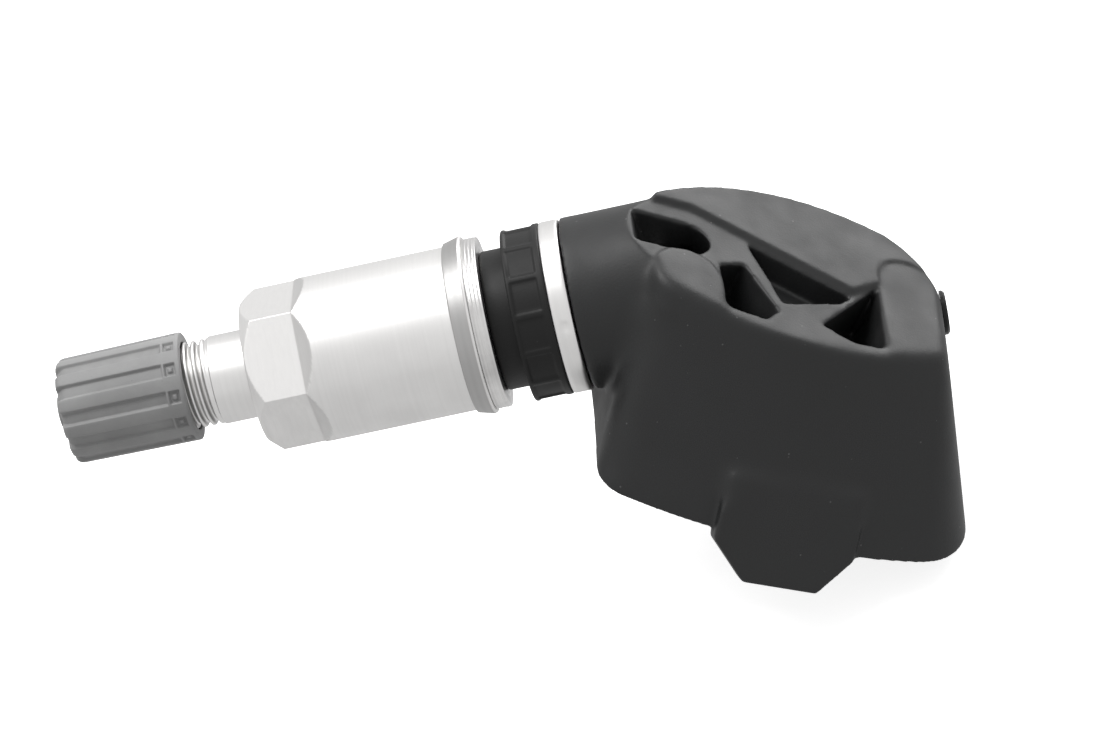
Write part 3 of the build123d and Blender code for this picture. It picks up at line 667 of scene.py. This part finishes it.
# %% Turned metal
lathe, given, result, space = effect("turned metal", {
    "Base": (0.7, 0.7, 0.7, 1), "Dark": (0.5, 0.5, 0.5, 1), "Roughness": 0.35,
})
parts = add(lathe, "SeparateXYZ", {"Vector": space}).outputs
across = add(lathe, "CombineXYZ", {"Y": parts["Y"], "Z": parts["Z"]}).outputs[0]
radius = add(lathe, "VectorMath", {0: across}, operation="LENGTH").outputs["Value"]
along = add(lathe, "CombineXYZ", {"X": parts["X"], "Y": radius}).outputs[0]
tool_lines = add(lathe, "TexNoise", {"Vector": along, "Scale": 2600.0, "Detail": 4.0}).outputs["Fac"]
cloud = add(lathe, "TexNoise", {"Vector": space, "Scale": 320.0, "Detail": 5.0}).outputs["Fac"]
tone = sum_of(lathe, tool_lines, cloud)
colour = blend_colour(lathe, stretch(lathe, tone, 0.8, 1.25, 0.0, 1.0), given["Dark"], given["Base"])
# The shade attribute holds painted shade and painted reflections, which take the colour towards black here.
painted = add(lathe, "Attribute", attribute_name="shade").outputs["Fac"]
uneven = stretch(lathe, tone, 0.7, 1.3, 0.03, -0.03)
lathe.links.new(blend_colour(lathe, painted, colour, (0.0, 0.0, 0.0, 1)), result["Color"])
lathe.links.new(sum_of(lathe, given["Roughness"], uneven), result["Roughness"])
lathe.links.new(tool_lines, result["Height"])

# %% [markdown]
# Poured resin, plated sheet and drawn wire have no grain. They only change softly from place to place, so one
# cloud of noise moves between two colours, changes the roughness and lifts the surface.

# %% Poured and plated surfaces
clouded, given, result, space = effect("clouded", {
    "Base": (0.5, 0.5, 0.5, 1), "Pale": (0.6, 0.6, 0.6, 1), "Scale": 400.0, "Roughness": 0.3,
})
cloud = add(clouded, "TexNoise", {"Vector": space, "Scale": given["Scale"], "Detail": 5.0}).outputs["Fac"]
colour = blend_colour(clouded, stretch(clouded, cloud, 0.35, 0.65, 0.0, 1.0), given["Base"], given["Pale"])
uneven = stretch(clouded, cloud, 0.3, 0.7, -0.08, 0.08)
clouded.links.new(colour, result["Color"])
clouded.links.new(sum_of(clouded, given["Roughness"], uneven), result["Roughness"])
clouded.links.new(cloud, result["Height"])

# %% [markdown]
# A material is one effect and one shader. Every finish could be a node tree of its own, but then a change of the
# grain would have to be made many times. Here the effect is shared, and a finish only says its colours, how rough
# it is and how high its relief stands in metres.

# %% Materials from effects
def material(name, tree, bump, values, metallic=0.0, coat=0.0, specular=0.5):
    """Material whose shader takes colour, roughness and a bump of so many metres from an effect."""
    made = bpy.data.materials.new(name)
    made.use_nodes = True
    net = made.node_tree
    net.nodes.clear()
    use = add(net, "Group", node_tree=tree)
    for key, value in values.items():
        use.inputs[key].default_value = value
    relief = add(net, "Bump", {"Height": use.outputs["Height"], "Distance": bump, "Strength": 1.0})
    shader = add(net, "BsdfPrincipled", {
        "Base Color": use.outputs["Color"], "Roughness": use.outputs["Roughness"],
        "Normal": relief.outputs["Normal"], "Metallic": metallic, "Coat Weight": coat,
        "Specular IOR Level": specular,
    })
    add(net, "OutputMaterial", {"Surface": shader.outputs["BSDF"]})
    return made


def plastic(name, base, pale, roughness, bump=8e-6, dust=0.3, specular=0.5):
    """Moulded plastic or rubber between two colours, with more or less dust and shine."""
    return material(name, moulded, bump, {"Base": base, "Pale": pale, "Roughness": roughness, "Dust": dust},
                    specular=specular)


def metal(name, base, dark, roughness, bump=1.5e-6):
    """Turned metal whose fine lines go from its base colour to a darker one."""
    return material(name, lathe, bump, {"Base": base, "Dark": dark, "Roughness": roughness}, metallic=1.0)


def cloudy(name, base, pale, roughness, bump=2e-6, scale=400.0, metallic=0.0, coat=0.0):
    """Poured or plated surface with clouds of a second colour; a larger scale makes smaller clouds."""
    return material(name, clouded, bump, {"Base": base, "Pale": pale, "Roughness": roughness, "Scale": scale},
                    metallic=metallic, coat=coat)


def grey(value, warm=0.0):
    """Neutral colour of a given linear value, a little warmer or cooler."""
    return (value * (1 + warm), value, value * (1 - warm), 1)


print("a slightly warm grey:", grey(0.5, 0.01))

# %% [markdown]
# The greys of the outer pieces were set by comparing the brightness of the render with the photograph, piece by
# piece. The plug and the rubber of the grommet are the darkest, the housing is a shade lighter, and the cap is far
# paler. The inner pieces can't be seen there, so they have the usual colours of such parts.

# %% Finishes
finishes = {
    "cap_plastic": plastic("cap plastic", grey(0.27), grey(0.34), 0.6, bump=1.2e-5),
    "housing_plastic": plastic("housing plastic", grey(0.011, -0.03), grey(0.016, -0.03), 0.5, bump=1.2e-5,
                               dust=0.6, specular=0.42),
    "grommet_rubber": plastic("grommet rubber", grey(0.005), grey(0.008), 0.55, dust=0.15, specular=0.3),
    "seal_rubber": plastic("seal rubber", grey(0.012), grey(0.02), 0.7),
    "plug_plastic": plastic("plug plastic", grey(0.002), grey(0.004), 0.25, bump=1e-6, dust=0.1, specular=0.25),
    "stem_metal": metal("stem metal", grey(0.74, 0.01), grey(0.7, 0.01), 0.38),
    "nut_metal": metal("nut metal", grey(0.75, 0.01), grey(0.71, 0.01), 0.42),
    "washer_metal": metal("washer metal", grey(0.72, 0.01), grey(0.5, 0.01), 0.3),
    "core_brass": metal("core brass", (0.72, 0.53, 0.26, 1), (0.55, 0.38, 0.16, 1), 0.3),
    "spring_steel": cloudy("spring steel", grey(0.5), grey(0.62), 0.3, metallic=1.0),
    "core_ring_plastic": plastic("ring plastic", grey(0.55, 0.02), grey(0.62, 0.02), 0.45, dust=0.0),
    "potting_resin": cloudy("potting resin", grey(0.012), grey(0.02), 0.2, bump=2e-5, scale=120.0, coat=0.3),
    "board_laminate": cloudy("board laminate", (0.01, 0.09, 0.03, 1), (0.02, 0.15, 0.05, 1), 0.35, scale=900.0),
    "cell_steel": cloudy("cell steel", grey(0.52), grey(0.66), 0.32, metallic=1.0),
    "tab_steel": cloudy("tab steel", grey(0.6), grey(0.7), 0.28, metallic=1.0),
    "capacitor_ceramic": cloudy("capacitor ceramic", (0.32, 0.2, 0.11, 1), (0.4, 0.27, 0.16, 1), 0.4, scale=1500.0),
    "chip_plastic": plastic("chip plastic", grey(0.012), grey(0.02), 0.5, dust=0.0),
    "coil_wire": metal("coil wire", (0.8, 0.42, 0.2, 1), (0.6, 0.28, 0.12, 1), 0.35, bump=6e-6),
    "crystal_can": cloudy("crystal can", grey(0.6), grey(0.7), 0.25, scale=900.0, metallic=1.0),
    "antenna_wire": cloudy("antenna wire", (0.75, 0.6, 0.4, 1), (0.8, 0.68, 0.5, 1), 0.3, scale=900.0, metallic=1.0),
    "screw_steel": metal("screw steel", grey(0.5), grey(0.36), 0.35),
}
print("finishes:", len(finishes))

# %% [markdown]
# ## Dressing the solids
# Each new piece stands for its solid, rides on the same moving body and has the same finish. A solid that keeps its
# own shape only gets the finish of its slot. The spring gets a mesh of its own.

# %% Dress
dressed = {
    "valve_cap": (valve_cap, "cap", "cap_plastic"),
    "valve_stem": (valve_stem, "sensor", "stem_metal"),
    "sleeve_nut": (sleeve_nut, "nut", "nut_metal"),
    "nut_washer": (washer, "nut_carrier", "washer_metal"),
    "grommet": (grommet, "sensor", "grommet_rubber"),
    "housing_shell": (housing, "sensor", "housing_plastic"),
    "core_spring": (spring, "sensor", "spring_steel"),
}
slot_of = {part["node"]: part["material_slot"] for part in frame["record"]["subparts"]}
for node, (piece, body, slot) in dressed.items():
    piece.data.materials.clear()
    piece.data.materials.append(finishes[slot])
    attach(piece, body)
    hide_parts(node)
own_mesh(spring)
for node, solid in nodes.items():
    if node not in dressed:
        solid.data.materials.clear()
        solid.data.materials.append(finishes[slot_of[node]])
print("new pieces:", len(dressed), "solids that keep their shape:", len(nodes) - len(dressed))

# %% [markdown]
# ## The camera
# The photograph looks down at 41 degrees and almost square to the valve, from about 40 cm, with the camera turned
# about its own axis so that the valve rises to the right. An aimed camera would lose this turn. So its right, up
# and backward directions are written out as three unit vectors, and the same view comes back exactly.

# %% Camera
camera_right = (0.97522569, -0.07725063, -0.20728528)
camera_up = (0.20623978, 0.65638844, 0.72568545)
camera_back = (0.08, -0.75045756, 0.65605903)
camera_place = (0.035119, -0.312755, 0.266381)


def standing(right, up, back, place):
    """Matrix of an object whose X, Y and Z axes are three unit vectors and whose origin is at a place."""
    turn = np.eye(4)
    turn[:3, 0], turn[:3, 1], turn[:3, 2], turn[:3, 3] = right, up, back, place
    return Matrix(turn.tolist())


camera_data = bpy.data.cameras.new("camera")
camera_data.sensor_width = 36
camera_data.lens = 152.43
camera_data.clip_start = 0.01
camera = bpy.data.objects.new("camera", camera_data)
bpy.context.scene.collection.objects.link(camera)
camera.matrix_world = standing(camera_right, camera_up, camera_back, camera_place)
bpy.context.scene.camera = camera
print("camera distance: %.3f m" % np.linalg.norm(camera_place))

# %% [markdown]
# ## Light and floor
# The sensor lies in a white studio. Small lamps would draw hard spots on the metal, so both lamps are wide
# squares: one hangs overhead on the left, and one stands behind on the right and edges the housing with light.

# %% Lamps
def area_lamp(name, place, aim, size, watts):
    """Square area lamp at a place, turned to face aim: its -Z axis is the unit vector from place to aim."""
    data = bpy.data.lights.new(name, "AREA")
    data.shape = "SQUARE"
    data.size = size
    data.energy = watts
    lamp = bpy.data.objects.new(name, data)
    ahead = np.array(aim, float) - np.array(place, float)
    ahead /= np.linalg.norm(ahead)
    side = np.cross(ahead, [0, 0, 1.0])
    side /= np.linalg.norm(side)
    lamp.matrix_world = standing(side, np.cross(side, ahead), -ahead, place)
    bpy.context.scene.collection.objects.link(lamp)
    print("lamp %s: %.2f m wide, %.1f W" % (name, size, watts))


area_lamp("overhead", (-0.15, 0.10, 0.50), (0, 0, 0), 0.35, 2.2)
area_lamp("behind", (0.30, 0.42, 0.22), (0.02, 0, 0), 0.40, 2.1)

# %% [markdown]
# The white round the sensor does three jobs: it is the picture's background, it is what the metal mirrors, and it
# is the soft light from all sides. One strength can't suit all three, so the kind of ray picks the strength. It
# is plain white to the camera, nearly as white in mirrors, and much dimmer as light.

# %% World
world = bpy.data.worlds.new("studio")
bpy.context.scene.world = world
world.use_nodes = True
sky = world.node_tree
sky.nodes.clear()
strengths = {"seen": 1.0, "mirrored": 0.9, "ambient": 0.36}
white = {job: add(sky, "Background", {"Color": (1, 1, 1, 1), "Strength": strength}).outputs[0]
         for job, strength in strengths.items()}
rays = add(sky, "LightPath").outputs
unseen = add(sky, "MixShader", {"Fac": rays["Is Glossy Ray"], 1: white["ambient"], 2: white["mirrored"]}).outputs[0]
whole = add(sky, "MixShader", {"Fac": rays["Is Camera Ray"], 1: unseen, 2: white["seen"]}).outputs[0]
add(sky, "OutputWorld", {"Surface": whole})
print("world:", strengths)

# %% [markdown]
# In the photograph the floor is burnt out to an even white. A floor of plain white paint would look grey and throw
# too much light at the housing. So to the camera it is white paint with a glow, in mirrors it is the glow alone,
# and as a source of light it is a dull grey.

# %% Floor
floor_half, floor_gap, floor_glow = 1.5, 0.0005, 0.78
level = cad_box[0][2] - floor_gap
floor_mesh = bpy.data.meshes.new("floor")
floor_mesh.from_pydata([(-floor_half, -floor_half, level), (floor_half, -floor_half, level),
                        (floor_half, floor_half, level), (-floor_half, floor_half, level)], [], [(0, 1, 2, 3)])
floor = bpy.data.objects.new("floor", floor_mesh)
bpy.context.scene.collection.objects.link(floor)
floor_paint = bpy.data.materials.new("floor")
floor_paint.use_nodes = True
paint = floor_paint.node_tree
paint.nodes.clear()
dull = add(paint, "BsdfDiffuse", {"Color": (0.55, 0.55, 0.55, 1)}).outputs[0]
pale = add(paint, "BsdfDiffuse", {"Color": (0.95, 0.95, 0.95, 1)}).outputs[0]
glow = add(paint, "Emission", {"Color": (1, 1, 1, 1), "Strength": floor_glow}).outputs[0]
bright = add(paint, "AddShader", {0: pale, 1: glow}).outputs[0]
rays = add(paint, "LightPath").outputs
unseen = add(paint, "MixShader", {"Fac": rays["Is Glossy Ray"], 1: dull, 2: glow}).outputs[0]
whole = add(paint, "MixShader", {"Fac": rays["Is Camera Ray"], 1: unseen, 2: bright}).outputs[0]
add(paint, "OutputMaterial", {"Surface": whole})
floor_mesh.materials.append(floor_paint)
print("floor at z = %.1f mm" % (level * 1000))

# %% [markdown]
# ## View
# The plain Standard view shows every brightness as it was worked out, so greys can be compared with the
# photograph's. A filmic view would bend them.

# %% View settings
bpy.context.scene.view_settings.view_transform = "Standard"
print("view:", bpy.context.scene.view_settings.view_transform)

# %% [markdown]
# Last, the script prints a short note at its end.

# %% End
print("end of the script")
